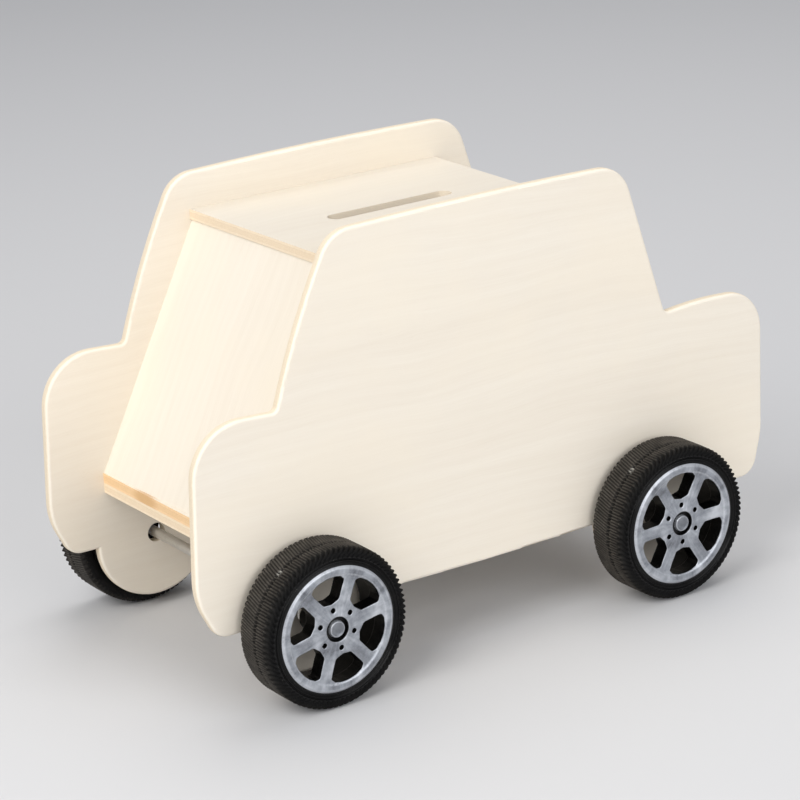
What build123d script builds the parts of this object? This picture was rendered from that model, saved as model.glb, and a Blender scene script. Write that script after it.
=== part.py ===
from build123d import *
import os
import math

# Wooden craft-kit car coin bank on four free-rolling toy wheels.
# +X forward, +Y the car's left side, +Z up, origin on the floor below the
# middle of the overall box. Millimetres.

# ---- driving dimensions ------------------------------------------------------
WHEELBASE = 100.0          # front axle to rear axle
TYRE_R = 19.2              # tyre outer radius, so the axle height as well
X_MID = 4.1                # axle mid point, forward of the overall middle
Z_AX = TYRE_R

PLY = 2.5                  # thickness of every plywood board
BODY_HALF = 34.4           # half the width over the two side panels
EDGE_EASE = 0.8            # sanded rounding along the side panels' outline
AXLE_HOLE_R = 2.4          # oversize hole in the side panel
LOBE_R = 16.0              # rounded panel lobe about each axle

ROOF_TOP = 78.5            # heights above the axle
ROOF_FRONT = 34.9
ROOF_REAR = -36.7
FLOOR_TOP = 18.6           # top of the floor board
FLOOR_FRONT = 63.4         # ends of the floor and base boards, from the axle mid point
FLOOR_REAR = -65.2
FOOT_FRONT = 63.1          # outer face of the front board where it stands on the floor board
FOOT_REAR = -64.9
HEAD_INSET = 0.6           # the sloped boards' outer faces, inside the roof board's ends
FRONT_SKEW = 1.5           # the front board is glued askew, its left end this much further back
SLOT_LEN, SLOT_W = 35.0, 4.5
SLOT_X, SLOT_Y = -2.4, -2.0

PLUG_HOLE_R = 11.0         # stopper hole in the floor board
PLUG_SEAT_R = 13.0         # wider hole in the base board, which the stopper's flange fills
PLUG_X = 0.0
PLUG_CLEAR = 0.05          # radial clearance of the stopper in both holes
PLUG_RECESS = 0.2          # its underside above the base board's
PLUG_GAP = 0.3             # its flange below the floor board

AXLE_R = 1.25
AXLE_HALF = 45.6
RIM_R = 14.85              # silver rim face
LIP_R = 16.2               # black lip the tyre seats on
WHEEL_IN, WHEEL_OUT = 36.4, 47.6   # wheel, along the axle
TYRE_IN, TYRE_OUT = 35.8, 47.4
FACE_T = 2.4               # thickness of the spoked face
BARREL_R = 13.2            # inside of the barrel
HUB_R = 3.4
CAP_R, CAP_BASE_R = 1.95, 2.85
LUG_R, LUG_PCR = 0.62, 4.75
SPOKE_PHASE = {"front": -10.8, "rear": -1.7}

os.makedirs("parts", exist_ok=True)


def px(x):
    return x + X_MID


def pz(z):
    return z + Z_AX


# ---- side panel outline --------------------------------------------------------
def sub(a, b):
    return (a[0] - b[0], a[1] - b[1])


def unit(a):
    n = math.hypot(*a)
    return (a[0] / n, a[1] / n)


def corner(p0, p1, p2, r):
    """Tangent points and mid point of a fillet of radius r at p1."""
    a, b = unit(sub(p0, p1)), unit(sub(p2, p1))
    cosang = max(-1.0, min(1.0, a[0] * b[0] + a[1] * b[1]))
    ang = math.acos(cosang)
    d = r / math.tan(ang / 2)
    t1 = (p1[0] + a[0] * d, p1[1] + a[1] * d)
    t2 = (p1[0] + b[0] * d, p1[1] + b[1] * d)
    bis = unit((a[0] + b[0], a[1] + b[1]))
    c = (p1[0] + bis[0] * r / math.sin(ang / 2), p1[1] + bis[1] * r / math.sin(ang / 2))
    m = (c[0] - bis[0] * r, c[1] - bis[1] * r)
    return t1, m, t2


def bow(p, q, sag):
    """Mid point of a slightly bowed edge, positive to the left of p->q."""
    d = unit(sub(q, p))
    n = (-d[1], d[0])
    return ((p[0] + q[0]) / 2 + n[0] * sag, (p[1] + q[1]) / 2 + n[1] * sag)


BOTTOM_Z = 0.0
BUMPER_Z = -0.3            # underside of the front bumper
BUMPER_REAR_Z = 0.9
HALF = WHEELBASE / 2
notch_dx = math.sqrt(LOBE_R ** 2 - BUMPER_Z ** 2)
notch_rear_dx = math.sqrt(LOBE_R ** 2 - BUMPER_REAR_Z ** 2)
inner_dx = math.sqrt(LOBE_R ** 2 - BOTTOM_Z ** 2)
P_NOTCH_F = (HALF + notch_dx, BUMPER_Z)
P_NOTCH_R = (-HALF - notch_rear_dx, BUMPER_REAR_Z)
P_IN_F = (HALF - inner_dx, BOTTOM_Z)
P_IN_R = (-HALF + inner_dx, BOTTOM_Z)

# corner points with their radii, and the bow of the edge that follows
chain = [
    (P_NOTCH_F, 0.0, 0.0),
    ((73.3, BUMPER_Z), 5.0, 0.0),        # front bumper, bottom
    ((78.45, 9.9), 17.5, 0.0),           # nose, low
    ((77.0, 50.3), 12.7, 0.0),           # nose, top; bonnet edge follows
    ((55.1, 49.1), 1.5, -0.75),          # bonnet meets windscreen
    ((39.3, 87.5), 9.0, -0.5),           # roof, front
    ((-43.8, 87.85), 9.6, 0.0),          # roof, rear
    ((-56.05, 48.95), 1.5, -0.45),       # rear slope meets boot
    ((-86.45, 49.75), 10.9, 0.0),        # tail, top
    ((-86.5, 11.7), 17.5, 0.0),          # tail, low
    ((-83.7, BUMPER_REAR_Z), 5.0, 0.0),  # rear bumper, bottom
    (P_NOTCH_R, 0.0, 0.0),
]


def panel_face():
    def w(p):
        return (px(p[0]), pz(p[1]))

    n = len(chain)
    ends = []
    for i, (p, r, s) in enumerate(chain):
        if i in (0, n - 1) or r == 0:
            ends.append((p, None, p))
        else:
            ends.append(corner(chain[i - 1][0], p, chain[i + 1][0], r))
    with BuildSketch(Plane.XZ) as sk:
        with BuildLine():
            for i in range(n - 1):
                a, b = ends[i][2], ends[i + 1][0]
                sag = chain[i][2]
                if abs(sag) > 1e-6:
                    ThreePointArc(w(a), w(bow(a, b, sag)), w(b))
                else:
                    Line(w(a), w(b))
                if ends[i + 1][1] is not None:
                    ThreePointArc(w(ends[i + 1][0]), w(ends[i + 1][1]), w(ends[i + 1][2]))
            # rear lobe, straight sill, front lobe
            ThreePointArc(w(P_NOTCH_R), w((-HALF, -LOBE_R)), w(P_IN_R))
            ThreePointArc(w(P_IN_R), w((0.0, BOTTOM_Z - 0.5)), w(P_IN_F))
            ThreePointArc(w(P_IN_F), w((HALF, -LOBE_R)), w(P_NOTCH_F))
        make_face()
        with Locations((px(HALF), pz(0)), (px(-HALF), pz(0))):
            Circle(AXLE_HOLE_R, mode=Mode.SUBTRACT)
    return sk.sketch


def side_panel():
    """The panel on the car's left, from y = BODY_HALF - PLY to BODY_HALF."""
    face = panel_face()
    body = extrude(face, amount=PLY, dir=(0, 1, 0))
    body = body.moved(Location((0, BODY_HALF - PLY, 0)))
    # ease the outline on both faces, leave the axle holes crisp
    picked = []
    for e in body.edges():
        bb = e.bounding_box()
        flat = abs(bb.max.Y - bb.min.Y) < 1e-4
        hole = e.geom_type == GeomType.CIRCLE and abs(e.radius - AXLE_HOLE_R) < 1e-3
        if flat and not hole:
            picked.append(e)
    for ease in (EDGE_EASE, 0.7, 0.5):
        try:
            out = fillet(picked, ease)
            if out.is_valid:
                return out
        except Exception:
            continue
    for ease in (0.7, 0.5, 0.3):
        try:
            out = chamfer(picked, ease)
            if out.is_valid:
                return out
        except Exception:
            continue
    return body


# ---- boards between the panels -----------------------------------------------------
INNER = BODY_HALF - PLY


def bar(x0, x1, z0, z1):
    """Board across the full inside width, coordinates from the axle line."""
    return Pos((px(x0) + px(x1)) / 2, 0, (pz(z0) + pz(z1)) / 2) * Box(x1 - x0, 2 * INNER, z1 - z0)


def prism(points, skew=0.0):
    """Profile run across the inside width; skew carries its left end back."""
    with BuildSketch(Plane.XZ) as sk:
        with BuildLine():
            Polyline(*[(px(x), pz(z)) for x, z in points], close=True)
        make_face()
    run = math.hypot(2 * INNER, skew)
    board = extrude(sk.sketch, amount=run, dir=(-skew / run, 2 * INNER / run, 0))
    return board.moved(Location((0, -INNER, 0)))


def roof_board():
    outline = [(px(ROOF_REAR), -INNER), (px(ROOF_FRONT), -INNER), (px(ROOF_FRONT - FRONT_SKEW), INNER), (px(ROOF_REAR), INNER)]
    with BuildSketch(Plane.XY.offset(pz(ROOF_TOP - PLY))) as top:
        with BuildLine():
            Polyline(*outline, close=True)
        make_face()
    board = extrude(top.sketch, amount=PLY)
    with BuildSketch(Plane.XY.offset(pz(ROOF_TOP - PLY) - 1)) as sk:
        with Locations((px(SLOT_X), SLOT_Y)):
            SlotOverall(SLOT_LEN, SLOT_W)
    return board - extrude(sk.sketch, amount=PLY + 2)


def sloped(foot_x, head_x, sign, skew=0.0):
    """Board leaning inwards from its foot on the floor board to the roof board."""
    z0, z1 = FLOOR_TOP, ROOF_TOP - PLY
    slope = math.atan2(abs(foot_x - head_x), z1 - z0)
    dx = PLY / math.cos(slope)
    return prism([(foot_x, z0), (head_x, z1), (head_x - sign * dx, z1), (foot_x - sign * dx, z0)], skew)


def round_hole(board, r):
    return board - Pos(px(PLUG_X), 0, pz(FLOOR_TOP - PLY)) * Cylinder(r, 6 * PLY)


floor_board = round_hole(bar(FLOOR_REAR, FLOOR_FRONT, FLOOR_TOP - PLY, FLOOR_TOP), PLUG_HOLE_R)
base_board = round_hole(bar(FLOOR_REAR, FLOOR_FRONT, FLOOR_TOP - 2 * PLY, FLOOR_TOP - PLY), PLUG_SEAT_R)
BASE_UNDER = pz(FLOOR_TOP - 2 * PLY)


# ---- coin plug: a stepped stopper, flush in the underside, with a finger bar across a dish ----
def coin_plug():
    r = PLUG_HOLE_R - PLUG_CLEAR
    rf = PLUG_SEAT_R - PLUG_CLEAR
    z0 = BASE_UNDER + PLUG_RECESS
    zf = BASE_UNDER + PLY - PLUG_GAP
    top = BASE_UNDER + 2 * PLY + 0.8
    dish = z0 + 1.4
    prof = [
        (0, dish), (9.0, dish), (9.6, z0), (rf - 0.3, z0), (rf, z0 + 0.3), (rf, zf),
        (r, zf), (r, top - 0.8), (r - 0.8, top), (r - 2.2, top), (r - 2.2, dish + 1.3),
        (0, dish + 1.3),
    ]
    with BuildSketch(Plane.XZ) as sk:
        with BuildLine():
            Polyline(*prof, close=True)
        make_face()
    body = revolve(sk.sketch, axis=Axis.Z, revolution_arc=360)
    bar_h = dish + 0.4 - z0 - 0.1
    grip = Pos(0, 0, z0 + 0.1 + bar_h / 2) * Box(18.9, 3.0, bar_h)
    body = body + grip
    return body.moved(Location((px(PLUG_X), 0, 0)))


# ---- wheels -------------------------------------------------------------------------
def ring_profile(points):
    """Revolve (radius, y) points about the Y axis."""
    with BuildSketch(Plane.XY) as sk:
        with BuildLine():
            Polyline(*points, close=True)
        make_face()
    return revolve(sk.sketch, axis=Axis.Y, revolution_arc=360)


def opening_sketch():
    """One window between two spokes, along +X of its own frame."""
    with BuildSketch(Plane.XY) as sk:
        with BuildLine():
            Polyline((6.35, 0), (6.85, 2.1), (11.0, 4.5), (12.0, 3.7), (12.6, 2.0), (12.8, 0),
                     (12.6, -2.0), (12.0, -3.7), (11.0, -4.5), (6.85, -2.1), close=True)
        make_face()
        fillet(sk.vertices().filter_by(lambda v: abs(abs(v.Y) - 2.1) < 0.01), 0.5)
        fillet(sk.vertices().filter_by(lambda v: abs(abs(v.Y) - 4.5) < 0.01), 0.55)
    return sk.sketch


def wheel(phase):
    """Wheel with its axis on Y through the origin, outer face at y = WHEEL_OUT."""
    prof = [
        (BARREL_R, WHEEL_IN), (LIP_R - 0.9, WHEEL_IN), (LIP_R - 0.9, WHEEL_OUT - 0.9), (LIP_R - 0.5, WHEEL_OUT - 0.5),
        (RIM_R + 0.25, WHEEL_OUT - 0.5), (RIM_R, WHEEL_OUT - 0.3), (RIM_R - 0.35, WHEEL_OUT),
        (RIM_R - 1.6, WHEEL_OUT), (RIM_R - 2.2, WHEEL_OUT - 0.35), (CAP_BASE_R + 2.4, WHEEL_OUT - 0.55),
        (CAP_BASE_R + 0.3, WHEEL_OUT - 0.35), (CAP_BASE_R, WHEEL_OUT - 0.6), (CAP_BASE_R, WHEEL_OUT - 2.0),
        (0, WHEEL_OUT - 2.0), (0, WHEEL_OUT - 2.0 - FACE_T), (BARREL_R, WHEEL_OUT - 0.5 - FACE_T - 1.5),
    ]
    rim = ring_profile(prof)
    hub_len = (WHEEL_OUT - 3.0) - WHEEL_IN
    hub = Rot(90, 0, 0) * Cylinder(HUB_R, hub_len)
    rim = rim + hub.moved(Location((0, WHEEL_IN + hub_len / 2, 0)))
    window = extrude(opening_sketch(), amount=14)
    for k in range(6):
        ang = phase + 30 + 60 * k
        # local X -> direction (cos, sin) in the XZ plane, extrusion along +Y
        pl = Plane(origin=(0, WHEEL_OUT - 6.5, 0),
                   x_dir=(math.cos(math.radians(ang)), 0, math.sin(math.radians(ang))), z_dir=(0, 1, 0))
        rim = rim - pl.location * window
        cx, cz = LUG_PCR * math.cos(math.radians(ang)), LUG_PCR * math.sin(math.radians(ang))
        lug = Rot(90, 0, 0) * Cylinder(LUG_R, 3.0)
        rim = rim - lug.moved(Location((cx, WHEEL_OUT - 0.2, cz)))
    bore = Rot(90, 0, 0) * Cylinder(AXLE_R, 2 * (AXLE_HALF - 0))
    rim = rim - bore
    return rim


def tyre():
    seat = LIP_R - 0.9
    w0, w1 = TYRE_IN, TYRE_OUT
    mid = (w0 + w1) / 2
    prof = [
        (seat, w0 + 0.9), (seat + 0.5, w0 + 0.2), (TYRE_R - 1.6, w0), (TYRE_R - 0.5, w0 + 0.55), (TYRE_R, w0 + 1.7),
        (TYRE_R, mid - 0.55), (TYRE_R - 0.7, mid - 0.35), (TYRE_R - 0.7, mid + 0.35), (TYRE_R, mid + 0.55),
        (TYRE_R, w1 - 1.7), (TYRE_R - 0.5, w1 - 0.55), (TYRE_R - 1.6, w1), (seat + 0.9, w1 - 0.3), (seat, w1 - 0.9),
    ]
    return ring_profile(prof)


def cap():
    y0 = WHEEL_OUT - 2.0
    prof = [(0, y0), (CAP_BASE_R, y0), (CAP_BASE_R, y0 + 0.9), (CAP_R + 0.05, y0 + 0.9), (CAP_R, WHEEL_OUT - 0.55),
            (CAP_R - 0.25, WHEEL_OUT - 0.3), (CAP_R - 0.45, WHEEL_OUT - 0.3), (CAP_R - 0.6, WHEEL_OUT - 0.5), (0, WHEEL_OUT - 0.45)]
    return ring_profile(prof)


def axle(x):
    rod = Rot(90, 0, 0) * Cylinder(AXLE_R, 2 * AXLE_HALF)
    rod = chamfer(rod.edges().filter_by(GeomType.CIRCLE), 0.25)
    return rod.moved(Location((px(x), 0, Z_AX)))


# ---- write ------------------------------------------------------------------------------
nodes = {}
left = side_panel()
nodes["side_panel_left"] = left
nodes["side_panel_right"] = mirror(left, about=Plane.XZ)
nodes["roof_board"] = roof_board()
nodes["front_board"] = sloped(FOOT_FRONT, ROOF_FRONT - HEAD_INSET, 1, FRONT_SKEW)
nodes["rear_board"] = sloped(FOOT_REAR, ROOF_REAR + HEAD_INSET, -1)
nodes["floor_board"] = floor_board
nodes["base_board"] = base_board
nodes["coin_plug"] = coin_plug()

T = tyre()
C = cap()
for end, x in (("front", HALF), ("rear", -HALF)):
    nodes[end + "_axle"] = axle(x)
    W = wheel(SPOKE_PHASE[end])
    there = Location((px(x), 0, Z_AX))
    for side in ("left", "right"):
        for name, solid in (("wheel", W), ("tyre", T), ("cap", C)):
            s = solid if side == "left" else mirror(solid, about=Plane.XZ)
            nodes["%s_%s_%s" % (end, side, name)] = s.moved(there)

for name, shape in nodes.items():
    solids = shape.solids()
    out = solids[0] if len(solids) == 1 else Compound(children=list(solids))
    export_step(out, os.path.join("parts", name + ".step"))
    b = out.bounding_box()
    print("%-22s solids %d vol %8.1f  x %.2f..%.2f y %.2f..%.2f z %.2f..%.2f" % (
        name, len(solids), out.volume, b.min.X, b.max.X, b.min.Y, b.max.Y, b.min.Z, b.max.Z))
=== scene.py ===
import bpy, bmesh, math, random
from mathutils import Vector, Matrix


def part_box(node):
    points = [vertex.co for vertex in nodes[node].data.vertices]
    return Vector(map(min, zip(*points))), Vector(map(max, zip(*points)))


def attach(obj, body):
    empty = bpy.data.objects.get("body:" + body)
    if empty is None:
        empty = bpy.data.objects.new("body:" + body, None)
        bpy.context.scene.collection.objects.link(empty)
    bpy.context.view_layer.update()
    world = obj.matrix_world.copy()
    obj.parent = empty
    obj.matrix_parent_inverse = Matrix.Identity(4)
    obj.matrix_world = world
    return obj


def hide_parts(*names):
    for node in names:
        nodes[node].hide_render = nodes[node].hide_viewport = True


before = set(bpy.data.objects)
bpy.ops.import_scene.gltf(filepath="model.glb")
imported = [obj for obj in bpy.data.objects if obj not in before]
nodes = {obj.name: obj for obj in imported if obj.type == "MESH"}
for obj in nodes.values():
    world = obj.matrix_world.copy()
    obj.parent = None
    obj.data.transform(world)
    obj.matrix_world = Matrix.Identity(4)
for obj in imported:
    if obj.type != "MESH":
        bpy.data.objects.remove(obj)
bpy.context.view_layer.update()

MM = 0.001

# ------------------------------------------------------------------ node helpers
class NT:
    """Small helper to write shader graphs in a compact way."""
    def __init__(self, name, color=(0.8, 0.8, 0.8), rough=0.5):
        self.mat = bpy.data.materials.new(name)
        self.mat.use_nodes = True
        self.t = self.mat.node_tree
        self.t.nodes.clear()
        self.out = self.t.nodes.new("ShaderNodeOutputMaterial")
        self.b = self.t.nodes.new("ShaderNodeBsdfPrincipled")
        self.t.links.new(self.b.outputs[0], self.out.inputs[0])
        self.b.inputs["Base Color"].default_value = (*color, 1)
        self.b.inputs["Roughness"].default_value = rough
        self.mat.diffuse_color = (*color, 1)

    def put(self, sock, v):
        if v is None:
            return
        if isinstance(v, bpy.types.NodeSocket):
            self.t.links.new(v, sock)
        elif isinstance(v, (tuple, list)):
            if len(v) == 3 and len(sock.default_value) == 4:
                v = (*v, 1)
            sock.default_value = v
        elif hasattr(sock.default_value, "__len__"):
            sock.default_value = [v] * 3 + [1] if len(sock.default_value) == 4 else [v] * 3
        else:
            sock.default_value = v

    def n(self, kind, **props):
        nd = self.t.nodes.new(kind)
        for k, v in props.items():
            setattr(nd, k, v)
        return nd

    def math(self, op, a, b=None, c=None, clamp=False):
        nd = self.n("ShaderNodeMath", operation=op, use_clamp=clamp)
        for s, v in zip(nd.inputs, (a, b, c)):
            self.put(s, v)
        return nd.outputs[0]

    def vmath(self, op, a, b=None, scale=None):
        nd = self.n("ShaderNodeVectorMath", operation=op)
        self.put(nd.inputs[0], a)
        if b is not None:
            self.put(nd.inputs[1], b)
        if scale is not None:
            nd.inputs["Scale"].default_value = scale
        return nd.outputs["Value"] if op in ("DOT_PRODUCT", "LENGTH", "DISTANCE") else nd.outputs["Vector"]

    def coord(self, which="Object"):
        if not hasattr(self, "_tc"):
            self._tc = self.n("ShaderNodeTexCoord")
        return self._tc.outputs[which]

    def combine(self, x, y, z):
        nd = self.n("ShaderNodeCombineXYZ")
        for s, v in zip(nd.inputs, (x, y, z)):
            self.put(s, v)
        return nd.outputs[0]

    def separate(self, v):
        nd = self.n("ShaderNodeSeparateXYZ")
        self.put(nd.inputs[0], v)
        return nd.outputs

    def noise(self, vec, scale=1.0, detail=2.0, rough=0.5, distortion=0.0, color=False):
        nd = self.n("ShaderNodeTexNoise")
        self.put(nd.inputs["Vector"], vec)
        nd.inputs["Scale"].default_value = scale
        nd.inputs["Detail"].default_value = detail
        nd.inputs["Roughness"].default_value = rough
        nd.inputs["Distortion"].default_value = distortion
        return nd.outputs["Color" if color else "Fac"]

    def voronoi(self, vec, scale=1.0, feature="F1", out="Distance", randomness=1.0):
        nd = self.n("ShaderNodeTexVoronoi", feature=feature)
        self.put(nd.inputs["Vector"], vec)
        nd.inputs["Scale"].default_value = scale
        nd.inputs["Randomness"].default_value = randomness
        return nd.outputs[out]

    def wave(self, vec, scale=1.0, distortion=0.0, detail=2.0, dscale=1.0, direction="Y"):
        nd = self.n("ShaderNodeTexWave", wave_type="BANDS", bands_direction=direction, wave_profile="SIN")
        self.put(nd.inputs["Vector"], vec)
        nd.inputs["Scale"].default_value = scale
        nd.inputs["Distortion"].default_value = distortion
        nd.inputs["Detail"].default_value = detail
        nd.inputs["Detail Scale"].default_value = dscale
        return nd.outputs["Fac"]

    def ramp(self, fac, stops, interp="LINEAR"):
        nd = self.n("ShaderNodeValToRGB")
        cr = nd.color_ramp
        cr.interpolation = interp
        while len(cr.elements) > 1:
            cr.elements.remove(cr.elements[-1])
        for i, (pos, col) in enumerate(stops):
            e = cr.elements[0] if i == 0 else cr.elements.new(pos)
            e.position = pos
            if not isinstance(col, (tuple, list)):
                col = (col, col, col)
            e.color = (*col, 1)
        self.put(nd.inputs[0], fac)
        return nd.outputs[0]

    def maprange(self, v, a, b, c=0.0, d=1.0, smooth=False):
        nd = self.n("ShaderNodeMapRange", interpolation_type="SMOOTHSTEP" if smooth else "LINEAR", clamp=True)
        self.put(nd.inputs["Value"], v)
        nd.inputs["From Min"].default_value = a
        nd.inputs["From Max"].default_value = b
        nd.inputs["To Min"].default_value = c
        nd.inputs["To Max"].default_value = d
        return nd.outputs["Result"]

    def mix(self, fac, a, b, blend="MIX"):
        nd = self.n("ShaderNodeMix", data_type="RGBA", blend_type=blend)
        nd.clamp_factor = True
        self.put(nd.inputs[0], fac)
        self.put(nd.inputs[6], a)
        self.put(nd.inputs[7], b)
        return nd.outputs[2]

    def bump(self, height, strength=0.3, dist=0.0002, normal=None):
        nd = self.n("ShaderNodeBump")
        nd.inputs["Strength"].default_value = strength
        nd.inputs["Distance"].default_value = dist
        self.put(nd.inputs["Height"], height)
        if normal is not None:
            self.put(nd.inputs["Normal"], normal)
        return nd.outputs[0]

    def shade(self, color=None, rough=None, normal=None):
        self.put(self.b.inputs["Base Color"], color)
        self.put(self.b.inputs["Roughness"], rough)
        self.put(self.b.inputs["Normal"], normal)
        return self.mat


# ------------------------------------------------------------------ bare plywood

def plywood(name, grain, thick, centre, seed, face_lo, face_hi, edge_tint=(1, 1, 1), spot=None, pale=None):
    """Light bare plywood. grain: unit vector along the face grain; thick: unit vector through the
    board; centre: the board's middle along thick (mm). Faces get long fibre, figure and pores,
    the cut edges show three plies."""
    m = NT(name, face_hi, 0.6)
    P = m.vmath("SCALE", m.coord("Object"), scale=1000.0)
    g = Vector(grain).normalized(); t = Vector(thick).normalized(); c = t.cross(g)
    u = m.vmath("DOT_PRODUCT", P, tuple(g))
    v = m.vmath("DOT_PRODUCT", P, tuple(c))
    w = m.math("SUBTRACT", m.vmath("DOT_PRODUCT", P, tuple(t)), centre)
    N = m.coord("Normal")
    nt = m.math("ABSOLUTE", m.vmath("DOT_PRODUCT", N, tuple(t)))
    edge = m.maprange(nt, 0.80, 0.45, 0.0, 1.0, smooth=True)          # 1 on cut edges
    endg = m.math("ABSOLUTE", m.vmath("DOT_PRODUCT", N, tuple(g)))     # 1 where the edge is end grain

    # slow warp so no line runs dead straight
    W0 = m.combine(m.math("MULTIPLY", u, 0.016), m.math("MULTIPLY", v, 0.05), seed * 3.1)
    warp = m.noise(W0, 1.0, 2.0, 0.5)
    vw = m.math("ADD", v, m.math("MULTIPLY", m.math("SUBTRACT", warp, 0.5), 9.0))
    # growth figure: broad soft bands
    F = m.combine(m.math("MULTIPLY", u, 0.006), m.math("MULTIPLY", vw, 0.11), seed)
    figure = m.noise(F, 1.0, 3.0, 0.55, 0.4)
    bands = m.wave(m.combine(m.math("MULTIPLY", u, 0.004), m.math("MULTIPLY", vw, 0.10), seed * 1.7), 1.0, 3.0, 2.0, 0.8)
    # fine fibre
    fib = m.noise(m.combine(m.math("MULTIPLY", u, 0.07), m.math("MULTIPLY", vw, 2.6), m.math("MULTIPLY", w, 1.2)), 1.0, 4.0, 0.65)
    fib2 = m.noise(m.combine(m.math("MULTIPLY", u, 0.25), m.math("MULTIPLY", vw, 7.0), seed * 2.0), 1.0, 2.0, 0.6)
    # short pores and flecks along the grain
    pore_v = m.voronoi(m.combine(m.math("MULTIPLY", u, 0.32), m.math("MULTIPLY", vw, 3.4), seed * 5.0), 1.0)
    pore = m.maprange(pore_v, 0.05, 0.17, 1.0, 0.0, smooth=True)
    pgate = m.maprange(m.noise(m.combine(m.math("MULTIPLY", u, 0.02), m.math("MULTIPLY", v, 0.10), seed * 7.7), 1.0, 2.0, 0.5), 0.45, 0.66, 0.0, 1.0, smooth=True)
    pore = m.math("MULTIPLY", pore, pgate)
    # slow stain
    stain = m.noise(m.combine(m.math("MULTIPLY", u, 0.022), m.math("MULTIPLY", v, 0.030), seed * 9.0), 1.0, 3.0, 0.6)

    tone = m.math("ADD", m.math("MULTIPLY", figure, 0.42), m.math("MULTIPLY", bands, 0.06))
    tone = m.math("ADD", tone, m.math("MULTIPLY", fib, 0.36))
    tone = m.math("ADD", tone, m.math("MULTIPLY", fib2, 0.16))
    col = m.mix(m.maprange(tone, 0.30, 0.72, 0.0, 1.0), face_lo, face_hi)
    warm = tuple(x * k for x, k in zip(face_hi, (1.0, 0.975, 0.93)))
    col = m.mix(m.maprange(stain, 0.40, 0.72, 0.0, 0.55, smooth=True), col, warm)
    dark = tuple(x * k for x, k in zip(face_lo, (0.80, 0.70, 0.56)))
    col = m.mix(m.math("MULTIPLY", pore, 0.20), col, dark)

    # cut edge: three plies, the core across the other two
    aw = m.math("ABSOLUTE", w)
    wob = m.math("MULTIPLY", m.math("SUBTRACT", m.noise(m.combine(m.math("MULTIPLY", u, 0.3), m.math("MULTIPLY", v, 0.3), seed), 1.0, 2.0), 0.5), 0.22)
    awn = m.math("ADD", aw, wob)
    core = m.maprange(awn, 0.50, 0.62, 1.0, 0.0, smooth=True)
    glue = m.math("MULTIPLY", m.maprange(awn, 0.46, 0.56, 0.0, 1.0, smooth=True), m.maprange(awn, 0.58, 0.70, 1.0, 0.0, smooth=True))
    e_lines = m.noise(m.combine(m.math("MULTIPLY", u, 1.1), m.math("MULTIPLY", v, 1.1), m.math("MULTIPLY", w, 9.0)), 1.0, 3.0, 0.6)
    e_spk = m.noise(m.combine(m.math("MULTIPLY", u, 5.0), m.math("MULTIPLY", v, 5.0), m.math("MULTIPLY", w, 5.0)), 1.0, 3.0, 0.7)
    eA = tuple(x * k * q for x, k, q in zip(face_hi, (1.0, 0.965, 0.90), edge_tint))
    eB = tuple(x * k * q for x, k, q in zip(face_lo, (0.96, 0.90, 0.80), edge_tint))
    ecol = m.mix(m.maprange(e_lines, 0.35, 0.68, 0.0, 1.0), eA, eB)
    ccol = m.mix(m.maprange(e_spk, 0.32, 0.66, 0.0, 1.0), tuple(x * k for x, k in zip(eA, (0.97, 0.945, 0.90))), tuple(x * 0.93 for x in eB))
    ecol = m.mix(core, ecol, ccol)
    ecol = m.mix(m.math("MULTIPLY", glue, 0.22), ecol, tuple(x * k for x, k in zip(eB, (0.72, 0.62, 0.50))))
    ecol = m.mix(m.math("MULTIPLY", m.math("MULTIPLY", endg, m.maprange(e_spk, 0.45, 0.62, 0.0, 1.0)), 0.30), ecol, eB)
    if pale:                                                           # a cut opening whose walls are painted paler: painted light inside the opening
        pos, half, tint = pale
        dx, dy, dz = m.separate(m.vmath("SUBTRACT", P, tuple(pos)))
        inside = m.math("MULTIPLY", m.math("LESS_THAN", m.math("ABSOLUTE", dx), half[0]), m.math("LESS_THAN", m.math("ABSOLUTE", dy), half[1]))
        ecol = m.mix(m.math("MULTIPLY", inside, 0.85), ecol, tint)
    # eased arris: a painted highlight, paler where face turns into edge
    arris = m.math("MULTIPLY", m.maprange(nt, 0.30, 0.72, 0.0, 1.0, smooth=True), m.maprange(nt, 0.80, 0.985, 1.0, 0.0, smooth=True))
    col = m.mix(edge, col, ecol)
    col = m.mix(m.math("MULTIPLY", arris, 0.45), col, tuple(min(1.0, x * 1.05) for x in face_hi))
    if spot:
        for (pos, rad, stretch, tint, amt) in spot:
            d = m.vmath("SUBTRACT", P, tuple(pos))
            dd = m.vmath("MULTIPLY", d, tuple(1.0 / (rad * s) for s in stretch))
            ln = m.math("ADD", m.vmath("LENGTH", dd), m.math("MULTIPLY", m.math("SUBTRACT", e_spk, 0.5), 0.8))
            col = m.mix(m.math("MULTIPLY", m.maprange(ln, 0.35, 1.0, 1.0, 0.0, smooth=True), amt), col, tint)
    h = m.math("ADD", m.math("MULTIPLY", fib, 0.6), m.math("MULTIPLY", fib2, 0.35))
    h = m.math("SUBTRACT", h, m.math("MULTIPLY", pore, 0.9))
    he = m.math("ADD", m.math("MULTIPLY", e_lines, 0.9), m.math("MULTIPLY", e_spk, 0.6))
    he = m.math("SUBTRACT", he, m.math("MULTIPLY", glue, 0.8))
    hh = m.math("ADD", m.math("MULTIPLY", h, m.math("SUBTRACT", 1.0, edge)), m.math("MULTIPLY", he, edge))
    nrm = m.bump(hh, 0.30, 0.00006)
    rough = m.maprange(m.math("ADD", fib, m.math("MULTIPLY", edge, 0.4)), 0.2, 1.1, 0.50, 0.74)
    m.b.inputs["Specular IOR Level"].default_value = 0.32
    m.b.inputs["Sheen Weight"].default_value = 0.06
    m.b.inputs["Sheen Roughness"].default_value = 0.5
    return m.shade(col, rough, nrm)


LO = (0.800, 0.722, 0.612)
HI = (0.868, 0.805, 0.702)


def mid_mm(node):
    a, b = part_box(node)
    return (a + b) * 500.0


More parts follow.
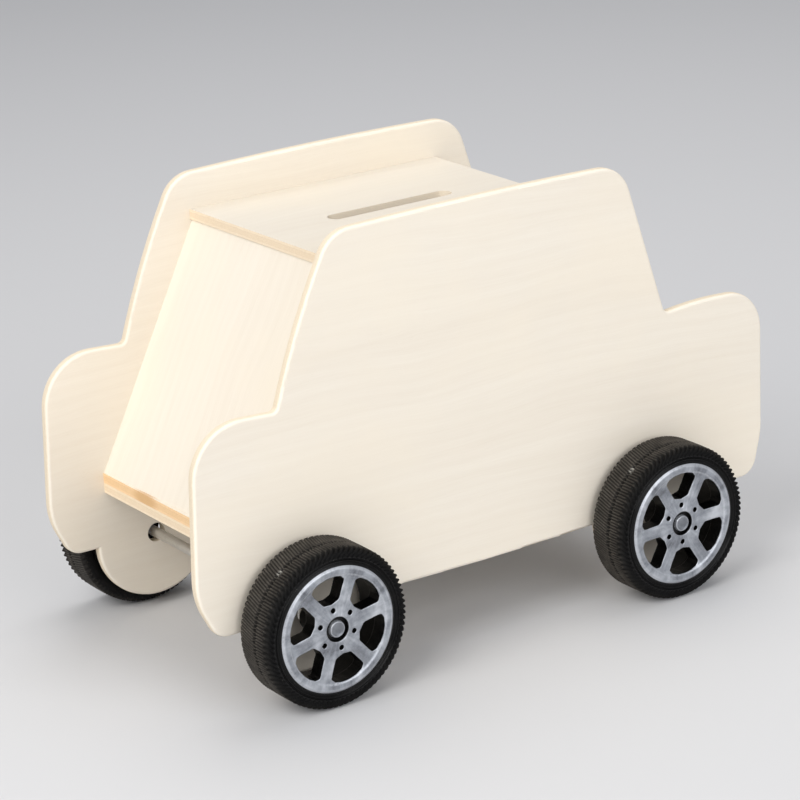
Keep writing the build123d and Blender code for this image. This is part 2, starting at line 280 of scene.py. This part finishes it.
def give(node, mat):
    o = nodes[node]
    o.data.materials.clear()
    o.data.materials.append(mat)
    return o


def board_axis(node):
    """Unit vector through a sloped board and its middle along it (mm)."""
    o = nodes[node]
    best = None
    acc = {}
    for p in o.data.polygons:
        n = p.normal
        if abs(n.y) > 0.1 or abs(n.z) > 0.95:
            continue
        acc[(round(n.x, 2), round(n.z, 2))] = acc.get((round(n.x, 2), round(n.z, 2)), 0) + p.area
    k = max(acc, key=acc.get)
    t = Vector((k[0], 0, k[1])).normalized()
    ds = [v.co.dot(t) * 1000 for v in o.data.vertices]
    return t, (min(ds) + max(ds)) / 2


c = mid_mm("side_panel_left")
give("side_panel_left", plywood("ply_side_left", (1, 0, 0.02), (0, 1, 0), c.y, 1.3, LO, HI))
c = mid_mm("side_panel_right")
give("side_panel_right", plywood("ply_side_right", (1, 0, -0.015), (0, 1, 0), c.y, 4.7, LO, HI))
c = mid_mm("roof_board")
# the slot's cut walls get painted light, paler than the other cut edges
give("roof_board", plywood("ply_roof", (1, 0.01, 0), (0, 0, 1), c.z, 7.9, tuple(x * 0.885 for x in LO), tuple(x * 0.885 for x in HI),
     (1.16, 1.11, 1.06), pale=((1.7, -2.0, c.z), (20.0, 4.0), (0.93, 0.83, 0.68))))
for nd, sd in (("front_board", 11.2), ("rear_board", 14.6)):
    t, cc = board_axis(nd)
    give(nd, plywood("ply_" + nd, (0, 1, 0) if nd == "rear_board" else t.cross(Vector((0, 1, 0))), t, cc, sd, LO, HI))
c = mid_mm("floor_board")
a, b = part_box("floor_board")
give("floor_board", plywood("ply_floor", (1, 0, 0), (0, 0, 1), c.z, 17.3, LO, HI, (1.08, 0.86, 0.62),
     spot=[((b.x * 1000, -12.5, c.z), 7.0, (0.6, 1.0, 0.42), (0.66, 0.40, 0.18), 0.80)]))
c = mid_mm("base_board")
give("base_board", plywood("ply_base", (0, 1, 0), (0, 0, 1), c.z, 20.9, LO, HI, (1.06, 1.0, 0.93)))

# ------------------------------------------------------------------ steel
def steel(name, cx, cz):
    m = NT(name, (0.45, 0.45, 0.45), 0.35)
    P = m.vmath("SCALE", m.coord("Object"), scale=1000.0)
    x, y, z = m.separate(P)
    ang = m.math("ARCTAN2", m.math("SUBTRACT", z, cz), m.math("SUBTRACT", x, cx))
    draw = m.noise(m.combine(m.math("MULTIPLY", ang, 5.0), m.math("MULTIPLY", y, 0.05), 0.0), 1.0, 4.0, 0.7)
    ringn = m.noise(m.combine(m.math("MULTIPLY", y, 3.0), m.math("MULTIPLY", ang, 0.2), 2.0), 1.0, 3.0, 0.6)
    stain = m.noise(P, 0.35, 3.0, 0.6)
    col = m.mix(m.maprange(draw, 0.3, 0.7), (0.56, 0.55, 0.53), (0.78, 0.77, 0.74))
    col = m.mix(m.maprange(stain, 0.48, 0.72, 0.0, 0.35), col, (0.42, 0.40, 0.36))
    rough = m.maprange(m.math("ADD", draw, m.math("MULTIPLY", stain, 0.6)), 0.4, 1.2, 0.32, 0.52)
    m.b.inputs["Metallic"].default_value = 1.0
    return m.shade(col, rough, m.bump(m.math("ADD", m.math("MULTIPLY", draw, 0.5), m.math("MULTIPLY", ringn, 0.3)), 0.25, 0.00005))


for end in ("front", "rear"):
    c = mid_mm(end + "_axle")
    o = give(end + "_axle", steel("steel_" + end, c.x, c.z))

# ------------------------------------------------------------------ soft black stopper
def stopper():
    m = NT("stopper", (0.03, 0.03, 0.03), 0.6)
    P = m.vmath("SCALE", m.coord("Object"), scale=1000.0)
    g = m.noise(P, 2.5, 4.0, 0.6)
    s = m.noise(P, 0.2, 2.0, 0.5)
    scuff = m.maprange(m.noise(m.vmath("MULTIPLY", P, (0.4, 4.0, 1.0)), 1.0, 3.0, 0.6), 0.60, 0.75, 0.0, 1.0)
    col = m.mix(s, (0.018, 0.018, 0.018), (0.040, 0.039, 0.038))
    col = m.mix(m.math("MULTIPLY", scuff, 0.4), col, (0.10, 0.098, 0.095))
    return m.shade(col, m.maprange(g, 0.3, 0.7, 0.45, 0.70), m.bump(g, 0.15, 0.0001))


give("coin_plug", stopper())

# ------------------------------------------------------------------ wheels
FACE_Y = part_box("front_left_wheel")[1].y * 1000      # outer face of a wheel, along the axle


def wheel_material(name, side):
    """Black moulded plastic with a satin silver face. side is +1 on the left."""
    m = NT(name, (0.4, 0.42, 0.45), 0.4)
    P = m.vmath("SCALE", m.coord("Object"), scale=1000.0)
    x, y, z = m.separate(P)
    ny = m.math("MULTIPLY", m.separate(m.coord("Normal"))[1], float(side))
    ay = m.math("MULTIPLY", y, float(side))
    rr = m.math("SQRT", m.math("ADD", m.math("MULTIPLY", x, x), m.math("MULTIPLY", z, z)))
    fine = m.noise(P, 6.0, 3.0, 0.7)
    rag = m.noise(P, 1.6, 3.0, 0.6)
    nyr = m.math("ADD", ny, m.math("MULTIPLY", m.math("SUBTRACT", rag, 0.5), 0.14))
    face = m.maprange(nyr, 0.46, 0.60, 0.0, 1.0, smooth=True)
    front = m.maprange(ay, FACE_Y - 1.35, FACE_Y - 1.15, 0.0, 1.0)
    inrim = m.maprange(rr, 14.92, 15.0, 1.0, 0.0)
    silver = m.math("MULTIPLY", m.math("MULTIPLY", face, front), inrim)
    silver = m.math("MULTIPLY", silver, m.maprange(rr, 2.95, 3.08, 0.0, 1.0))
    # dummy wheel-nut wells stay black right up to their rims
    # sprayed silver: soft clouds and streaks running out along the spokes, partly uneven paint and partly painted
    # reflection of a dark room with bright softboxes
    ang = m.math("ARCTAN2", z, x)
    cloud = m.noise(P, 0.24, 3.0, 0.6)
    blot_and_reflection = m.noise(m.vmath("ADD", P, (31.0, 7.0, 13.0)), 0.11, 2.0, 0.5)
    streak_and_reflection = m.noise(m.combine(m.math("MULTIPLY", ang, 9.0), m.math("MULTIPLY", rr, 0.10), 3.0), 1.0, 3.0, 0.6)
    tone = m.math("ADD", m.math("MULTIPLY", cloud, 0.50), m.math("MULTIPLY", blot_and_reflection, 0.45))
    tone = m.math("ADD", tone, m.math("MULTIPLY", streak_and_reflection, 0.22))
    scol = m.ramp(m.maprange(tone, 0.42, 0.74), [(0.0, (0.075, 0.080, 0.092)), (0.28, (0.19, 0.20, 0.225)), (0.60, (0.33, 0.35, 0.385)), (1.0, (0.58, 0.60, 0.64))])
    # arris of the face: a painted highlight, a bright line along it
    turn = m.math("MULTIPLY", m.maprange(ny, 0.62, 0.80, 0.0, 1.0, smooth=True), m.maprange(ny, 0.86, 0.975, 1.0, 0.0, smooth=True))
    scol = m.mix(m.math("MULTIPLY", turn, m.maprange(rag, 0.35, 0.65, 0.15, 0.75)), scol, (0.60, 0.62, 0.66))
    scol = m.mix(m.math("MULTIPLY", m.maprange(fine, 0.45, 0.75), 0.22), scol, (0.62, 0.64, 0.68))
    # rim band: painted highlight, a brighter ring along its outer edge
    ring = m.math("MULTIPLY", m.maprange(rr, 14.0, 14.5, 0.0, 1.0, smooth=True), m.maprange(streak_and_reflection, 0.3, 0.6, 0.2, 0.8))
    scol = m.mix(ring, scol, (0.55, 0.57, 0.61))
    speck = m.maprange(m.voronoi(P, 1.3), 0.03, 0.07, 1.0, 0.0)
    gate = m.maprange(m.noise(P, 0.45, 2.0, 0.5), 0.56, 0.66, 0.0, 1.0)
    scol = m.mix(m.math("MULTIPLY", m.math("MULTIPLY", speck, gate), 0.8), scol, (0.05, 0.05, 0.055))
    bcol = m.mix(m.maprange(cloud, 0.3, 0.7), (0.0012, 0.0012, 0.0014), (0.0032, 0.0031, 0.0031))
    dust = m.maprange(m.voronoi(P, 0.9), 0.02, 0.05, 1.0, 0.0)
    dgate = m.maprange(m.noise(P, 0.3, 2.0, 0.5), 0.58, 0.66, 0.0, 1.0)
    bcol = m.mix(m.math("MULTIPLY", m.math("MULTIPLY", dust, dgate), 0.5), bcol, (0.36, 0.34, 0.31))
    col = m.mix(silver, bcol, scol)
    rough = m.mix(silver, m.maprange(fine, 0.3, 0.7, 0.22, 0.38), m.maprange(m.math("ADD", fine, m.math("MULTIPLY", cloud, 0.5)), 0.5, 1.0, 0.30, 0.44))
    m.put(m.b.inputs["Metallic"], m.math("MULTIPLY", silver, 0.55))
    m.b.inputs["Specular IOR Level"].default_value = 0.22
    h = m.math("ADD", m.math("MULTIPLY", fine, 0.30), m.math("MULTIPLY", cloud, 0.9))
    return m.shade(col, rough, m.bump(h, 0.16, 0.00016))


def mesh_piece(name, mesh, body, node, mat):
    o = bpy.data.objects.new(name, mesh)
    bpy.context.scene.collection.objects.link(o)
    o.data.materials.clear()
    o.data.materials.append(mat)
    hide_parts(node)
    return o


def lathe(profile, n=144, closed=True, y_axis=True):
    """Mesh of revolution about Y from (radius, y) points in mm, in metres."""
    bm = bmesh.new()
    rings = []
    for r, y in profile:
        if r < 1e-6:
            rings.append([bm.verts.new((0, y * MM, 0))])
        else:
            rings.append([bm.verts.new((r * MM * math.cos(2 * math.pi * i / n), y * MM, r * MM * math.sin(2 * math.pi * i / n))) for i in range(n)])
    m = len(rings)
    for k in range(m if closed else m - 1):
        A, Bv = rings[k], rings[(k + 1) % m]
        for i in range(n):
            j = (i + 1) % n
            if len(A) == 1 and len(Bv) == 1:
                continue
            if len(A) == 1:
                bm.faces.new((A[0], Bv[j], Bv[i]))
            elif len(Bv) == 1:
                bm.faces.new((A[i], A[j], Bv[0]))
            else:
                bm.faces.new((A[i], A[j], Bv[j], Bv[i]))
    bmesh.ops.recalc_face_normals(bm, faces=bm.faces)
    me = bpy.data.meshes.new("lathe")
    bm.to_mesh(me)
    bm.free()
    return me


def smooth_all(me, angle=None):
    me.polygons.foreach_set("use_smooth", [True] * len(me.polygons))
    me.update()


def remeshed(src, centre, voxel, relax):
    """Copy of a CAD mesh about its own axis, re-skinned evenly, with every arris softened."""
    me = src.data.copy()
    me.transform(Matrix.Translation(-centre))
    tmp = bpy.data.objects.new("tmp_remesh", me)
    bpy.context.scene.collection.objects.link(tmp)
    md = tmp.modifiers.new("r", "REMESH")
    md.mode = "VOXEL"
    md.voxel_size = voxel
    md.adaptivity = 0.0
    sm = tmp.modifiers.new("s", "SMOOTH")
    sm.factor = 0.5
    sm.iterations = relax
    dg = bpy.context.evaluated_depsgraph_get()
    out = bpy.data.meshes.new_from_object(tmp.evaluated_get(dg))
    bpy.data.objects.remove(tmp, do_unlink=True)
    smooth_all(out)
    return out


def tyre_mesh(node, centre, side):
    """Tyre with moulded tread: two rows of cross ribs either side of a groove of short pits,
    slanted bars on the shoulder, smooth sidewall, rounded bead."""
    a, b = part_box(node)
    lo, hi = ((a.y, b.y) if side > 0 else (-b.y, -a.y))
    lo *= 1000; hi *= 1000
    R = (b.z - a.z) * 500
    seat = 15.3
    NA = 168                     # tread pitches round the tyre, two to each shoulder bar
    SUB = 6                      # steps in one pitch
    n = NA * SUB
    # profile from the inner bead over the tread to the outer bead: (radius, y, zone)
    prof = []
    def add(r, y, z):
        prof.append((r, y, z))
    add(seat + 0.02, lo + 1.6, "p"); add(seat + 0.05, lo + 0.9, "p"); add(seat + 0.5, lo + 0.25, "p")
    add(seat + 1.4, lo + 0.05, "p"); add(R - 2.2, lo + 0.02, "p")
    for k in range(6):
        t = k / 5
        ang = t * math.pi / 2
        add(R - 1.55 + 1.5 * math.sin(ang), lo + 1.5 - 1.5 * math.cos(ang) + 0.0, "s" if k < 4 else "t")
    y0, y1 = lo + 1.5, hi - 1.5
    mid = (y0 + y1) / 2
    steps = 26
    for k in range(1, steps):
        y = y0 + (y1 - y0) * k / steps
        add(R - 0.05 - 0.10 * ((y - mid) / (y1 - mid)) ** 2, y, "t")
    for k in range(8):
        t = k / 7
        ang = (1 - t) * math.pi / 2
        add(R - 1.85 + 1.78 * math.sin(ang), hi - 1.5 + 1.5 * math.cos(ang), "o")
    add(R - 2.15, hi - 0.02, "o2"); add(R - 2.45, hi - 0.10, "o3")
    add(R - 2.6, hi - 0.16, "w")
    for rr_, yy_ in ((1.28, 0.24), (1.20, 0.34), (1.12, 0.42), (1.02, 0.44), (0.95, 0.38), (0.90, 0.26), (0.82, 0.18), (0.72, 0.16), (0.62, 0.20), (0.56, 0.30),
                     (0.50, 0.38), (0.42, 0.38), (0.36, 0.30), (0.28, 0.26), (0.18, 0.30), (0.08, 0.45)):
        add(seat + rr_, hi - yy_, "b")
    add(seat + 0.02, hi - 1.5, "p")
    bm = bmesh.new()
    rings = []
    rnd = random.Random(7)
    wob = [rnd.uniform(-0.02, 0.02) for _ in range(NA)]

    def pulse(p, width, soft):
        """0 in the gap, 1 on the rib; p is the phase in pitches."""
        f = p - math.floor(p)
        d = abs(f - 0.5)
        return min(1.0, max(0.0, (d - (width / 2 - soft)) / (2 * soft)))

    for (r, y, z) in prof:
        ring = []
        for i in range(n):
            ph = i / SUB
            th = 2 * math.pi * i / n
            rr = r
            yy = y
            if z in ("t", "s"):
                s = (y - mid)
                if z == "s":
                    depth = 0.42 * (1 - pulse(0.5 * ph + 0.30 * s, 0.40, 0.12))
                else:
                    gap = abs(s - 0.6)          # the groove sits outboard of the middle
                    if s > 0.6:
                        rib = pulse(ph + 0.04 * s, 0.44, 0.16)
                        depth = 0.38 * (1 - rib)
                    else:
                        rib = pulse(ph + 0.34 * s, 0.44, 0.16)
                        depth = 0.34 * (1 - rib)
                    if gap < 0.48:
                        depth = max(0.3 * depth, 1.0 * (1 - pulse(0.75 * ph, 0.62, 0.12)))
                rr = r - depth
            elif z in ("o", "o2", "o3"):
                t = (R - r)
                fade = 1.0 if z == "o" else (0.6 if z == "o2" else 0.0)
                rib = pulse(0.5 * ph + 0.80 * t, 0.50, 0.11)
                d = 0.95 * (1 - rib) * fade
                nx = (r - (R - 1.85)) / 1.8
                rr = r - d * max(0.3, nx)
                yy = y - d * (1 - max(0.0, nx)) * 0.8
            ring.append(bm.verts.new((rr * MM * math.cos(th), yy * MM * side, rr * MM * math.sin(th))))
        rings.append(ring)
    m = len(rings)
    for k in range(m):
        A, C = rings[k], rings[(k + 1) % m]
        for i in range(n):
            j = (i + 1) % n
            bm.faces.new((A[i], A[j], C[j], C[i]))
    bmesh.ops.recalc_face_normals(bm, faces=bm.faces)
    me = bpy.data.meshes.new(node + "_mesh")
    bm.to_mesh(me)
    bm.free()
    smooth_all(me)
    return me


def tyre_material(name, side):
    """Black tyre: dusty brown-grey on the tops of the tread ribs, deep black between them and on the sidewall."""
    m = NT(name, (0.035, 0.033, 0.031), 0.75)
    P = m.vmath("SCALE", m.coord("Object"), scale=1000.0)
    x, y, z = m.separate(P)
    ay = m.math("MULTIPLY", y, float(side))
    rr = m.math("SQRT", m.math("ADD", m.math("MULTIPLY", x, x), m.math("MULTIPLY", z, z)))
    ang = m.math("ARCTAN2", z, x)
    grit = m.noise(P, 4.0, 4.0, 0.7)
    mott = m.noise(P, 0.35, 3.0, 0.6)
    crown = m.maprange(rr, 18.80, 19.06, 0.0, 1.0, smooth=True)          # rib tops only
    should = m.maprange(rr, 17.7, 18.8, 0.0, 0.24, smooth=True)
    base = m.mix(m.maprange(mott, 0.3, 0.7), (0.0016, 0.0015, 0.0016), (0.0042, 0.0040, 0.0040))
    dusty = m.mix(m.maprange(grit, 0.3, 0.7), (0.042, 0.037, 0.031), (0.130, 0.116, 0.100))
    amt = m.math("MULTIPLY", m.math("MAXIMUM", crown, should), m.maprange(mott, 0.25, 0.75, 0.35, 0.95))
    # less dust on the outer row than over the middle
    amt = m.math("MULTIPLY", amt, m.maprange(ay, FACE_Y - 4.5, FACE_Y - 1.0, 1.0, 0.45, smooth=True))
    col = m.mix(amt, base, dusty)
    # pale scuffs and dust flecks
    fd = m.maprange(m.voronoi(P, 0.85), 0.02, 0.06, 1.0, 0.0)
    gate = m.maprange(m.noise(P, 0.25, 2.0, 0.5), 0.48, 0.60, 0.0, 1.0)
    col = m.mix(m.math("MULTIPLY", m.math("MULTIPLY", fd, gate), 0.75), col, (0.42, 0.40, 0.36))
    d = m.vmath("SUBTRACT", P, (11.5, side * (FACE_Y - 5.3), 15.2))
    ln = m.math("ADD", m.vmath("LENGTH", m.vmath("MULTIPLY", d, (0.75, 1.5, 0.75))), m.math("MULTIPLY", m.math("SUBTRACT", grit, 0.5), 1.6))
    col = m.mix(m.math("MULTIPLY", m.maprange(ln, 0.5, 1.1, 1.0, 0.0, smooth=True), 0.8), col, (0.40, 0.39, 0.36))
    bead = m.maprange(rr, 16.75, 16.95, 1.0, 0.0)
    bead = m.math("MULTIPLY", bead, m.maprange(ay, 40.0, 41.0, 0.0, 1.0))
    rough = m.mix(bead, m.maprange(grit, 0.3, 0.7, 0.50, 0.80), m.maprange(grit, 0.3, 0.7, 0.14, 0.26))
    m.b.inputs["Specular IOR Level"].default_value = 0.17
    h = m.math("ADD", m.math("MULTIPLY", grit, 0.5), m.math("MULTIPLY", m.noise(P, 11.0, 2.0, 0.6), 0.35))
    return m.shade(col, rough, m.bump(h, 0.25, 0.00010))


def cap_material(name, side):
    m = NT(name, (0.4, 0.42, 0.45), 0.4)
    P = m.vmath("SCALE", m.coord("Object"), scale=1000.0)
    x, y, z = m.separate(P)
    rr = m.math("SQRT", m.math("ADD", m.math("MULTIPLY", x, x), m.math("MULTIPLY", z, z)))
    rag = m.math("MULTIPLY", m.math("SUBTRACT", m.noise(P, 2.2, 3.0, 0.6), 0.5), 0.18)
    silver = m.maprange(m.math("ADD", rr, rag), 1.97, 2.07, 1.0, 0.0)
    cloud = m.noise(P, 0.5, 3.0, 0.55)
    fine = m.noise(P, 7.0, 3.0, 0.7)
    scol = m.mix(m.maprange(cloud, 0.3, 0.7), (0.17, 0.18, 0.20), (0.30, 0.315, 0.34))
    # painted highlight: a brighter ring on the raised lip of the silver disc
    rim = m.math("MULTIPLY", m.maprange(rr, 1.55, 1.75, 0.0, 1.0), silver)
    scol = m.mix(m.math("MULTIPLY", rim, 0.6), scol, (0.52, 0.54, 0.58))
    col = m.mix(silver, (0.0022, 0.0022, 0.0025), scol)
    rough = m.mix(silver, 0.32, m.maprange(fine, 0.3, 0.7, 0.32, 0.44))
    m.put(m.b.inputs["Metallic"], m.math("MULTIPLY", silver, 0.6))
    m.b.inputs["Specular IOR Level"].default_value = 0.25
    return m.shade(col, rough, m.bump(m.math("ADD", fine, m.math("MULTIPLY", cloud, 0.6)), 0.12, 0.0001))


def bake_transform(me, centre):
    me.transform(Matrix.Translation(centre))
    return me


made = {}
for end in ("front", "rear"):
    for side_name, side in (("left", 1), ("right", -1)):
        body = end + "_wheelset"
        a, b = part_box("%s_%s_wheel" % (end, side_name))
        ctr = Vector(((a.x + b.x) / 2, 0, (a.z + b.z) / 2))
        # wheel: one skin per end, mirrored for the other side
        wn = "%s_%s_wheel" % (end, side_name)
        if ("w", end) not in made:
            made[("w", end)] = remeshed(nodes["%s_left_wheel" % end], ctr, 0.00020, 3)
        me = made[("w", end)].copy()
        if side < 0:
            me.transform(Matrix.Diagonal((1, -1, 1, 1)))
            me.flip_normals()
        o = mesh_piece(wn + "_skin", me, body, wn, wheel_material("wheel_" + end + side_name, side))
        o.location = ctr
        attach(o, body)
        tn = "%s_%s_tyre" % (end, side_name)
        if ("t", side) not in made:
            made[("t", side)] = tyre_mesh(tn, ctr, side)
        me = made[("t", side)].copy()
        o = mesh_piece(tn + "_tread", me, body, tn, tyre_material("tyre_" + end + side_name, side))
        o.location = ctr
        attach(o, body)
        cn = "%s_%s_cap" % (end, side_name)
        ys = b.y * 1000 if side > 0 else -a.y * 1000
        prof = [(0, ys - 1.98), (2.83, ys - 1.98), (2.83, ys - 1.15), (2.72, ys - 1.12), (2.06, ys - 1.14), (1.99, ys - 1.05), (1.95, ys - 0.62), (1.88, ys - 0.42),
                (1.74, ys - 0.33), (1.58, ys - 0.36), (1.48, ys - 0.47), (1.36, ys - 0.54), (0.7, ys - 0.50), (0, ys - 0.49)]
        me = lathe(prof, 96, closed=False)
        smooth_all(me)
        if side < 0:
            me.transform(Matrix.Diagonal((1, -1, 1, 1)))
            me.flip_normals()
        o = mesh_piece(cn + "_disc", me, body, cn, cap_material("cap_" + end + side_name, side))
        o.location = ctr
        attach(o, body)

# ------------------------------------------------------------------ floor, light, camera
def floor():
    me = bpy.data.meshes.new("floor")
    s = 1.6
    me.from_pydata([(-s, -s, 0), (s, -s, 0), (s, s, 0), (-s, s, 0)], [], [(0, 1, 2, 3)])
    o = bpy.data.objects.new("floor", me)
    bpy.context.scene.collection.objects.link(o)
    m = NT("floor_paper", (0.62, 0.62, 0.63), 0.7)
    me.materials.append(m.mat)
    return o


floor()


def area(name, loc, target, size, power, color=(1, 1, 1)):
    d = bpy.data.lights.new(name, "AREA")
    d.shape = "RECTANGLE"
    d.size, d.size_y = size
    d.energy = power
    d.color = color
    o = bpy.data.objects.new(name, d)
    bpy.context.scene.collection.objects.link(o)
    o.location = loc
    o.rotation_euler = (Vector(target) - Vector(loc)).to_track_quat("-Z", "Y").to_euler()
    return o


area("key", (0.70, 0.22, 0.62), (0.02, 0, 0.05), (0.60, 0.60), 6.0, (1.0, 0.985, 0.955))
area("fill", (-0.05, 0.95, 0.45), (0, 0, 0.05), (0.9, 0.7), 5.0, (0.98, 0.99, 1.0))
area("top", (-0.25, -0.25, 0.85), (0, 0, 0.06), (0.7, 0.7), 3.0, (1.0, 0.99, 0.97))

w = bpy.data.worlds.new("world")
bpy.context.scene.world = w
w.use_nodes = True
bg = w.node_tree.nodes.get("Background") or w.node_tree.nodes.new("ShaderNodeBackground")
bg.inputs[0].default_value = (0.93, 0.95, 1.0, 1)
bg.inputs[1].default_value = 0.40

# camera: azimuth and elevation of the view, long lens, slight roll
X_MID, Y_MID, Z_AX = 4.1, 0.58, 19.2
F_PX, AZ, EL, ROLL, DIST, TX, TZ = 3127.24, 34.25, 18.78, -2.41, 752.6, -1.11, 30.61
ca, sa, ce, se = math.cos(math.radians(AZ)), math.sin(math.radians(AZ)), math.cos(math.radians(EL)), math.sin(math.radians(EL))
back = Vector((sa * ce, ca * ce, se))
right = (-back).cross(Vector((0, 0, 1))).normalized()
up = right.cross(-back)
r = math.radians(ROLL)
r2 = right * math.cos(r) + up * math.sin(r)
u2 = -right * math.sin(r) + up * math.cos(r)
loc = (Vector((TX + X_MID, Y_MID, TZ + Z_AX)) + back * DIST) * MM
cam = bpy.data.cameras.new("camera")
cam.sensor_width = 36
cam.lens = F_PX / 800 * 36
cam.clip_start = 0.05
cam.clip_end = 20
co = bpy.data.objects.new("camera", cam)
bpy.context.scene.collection.objects.link(co)
M = Matrix((r2, u2, back)).transposed().to_4x4()
M.translation = loc
co.matrix_world = M
bpy.context.scene.camera = co

bpy.context.scene.view_settings.view_transform = "Standard"
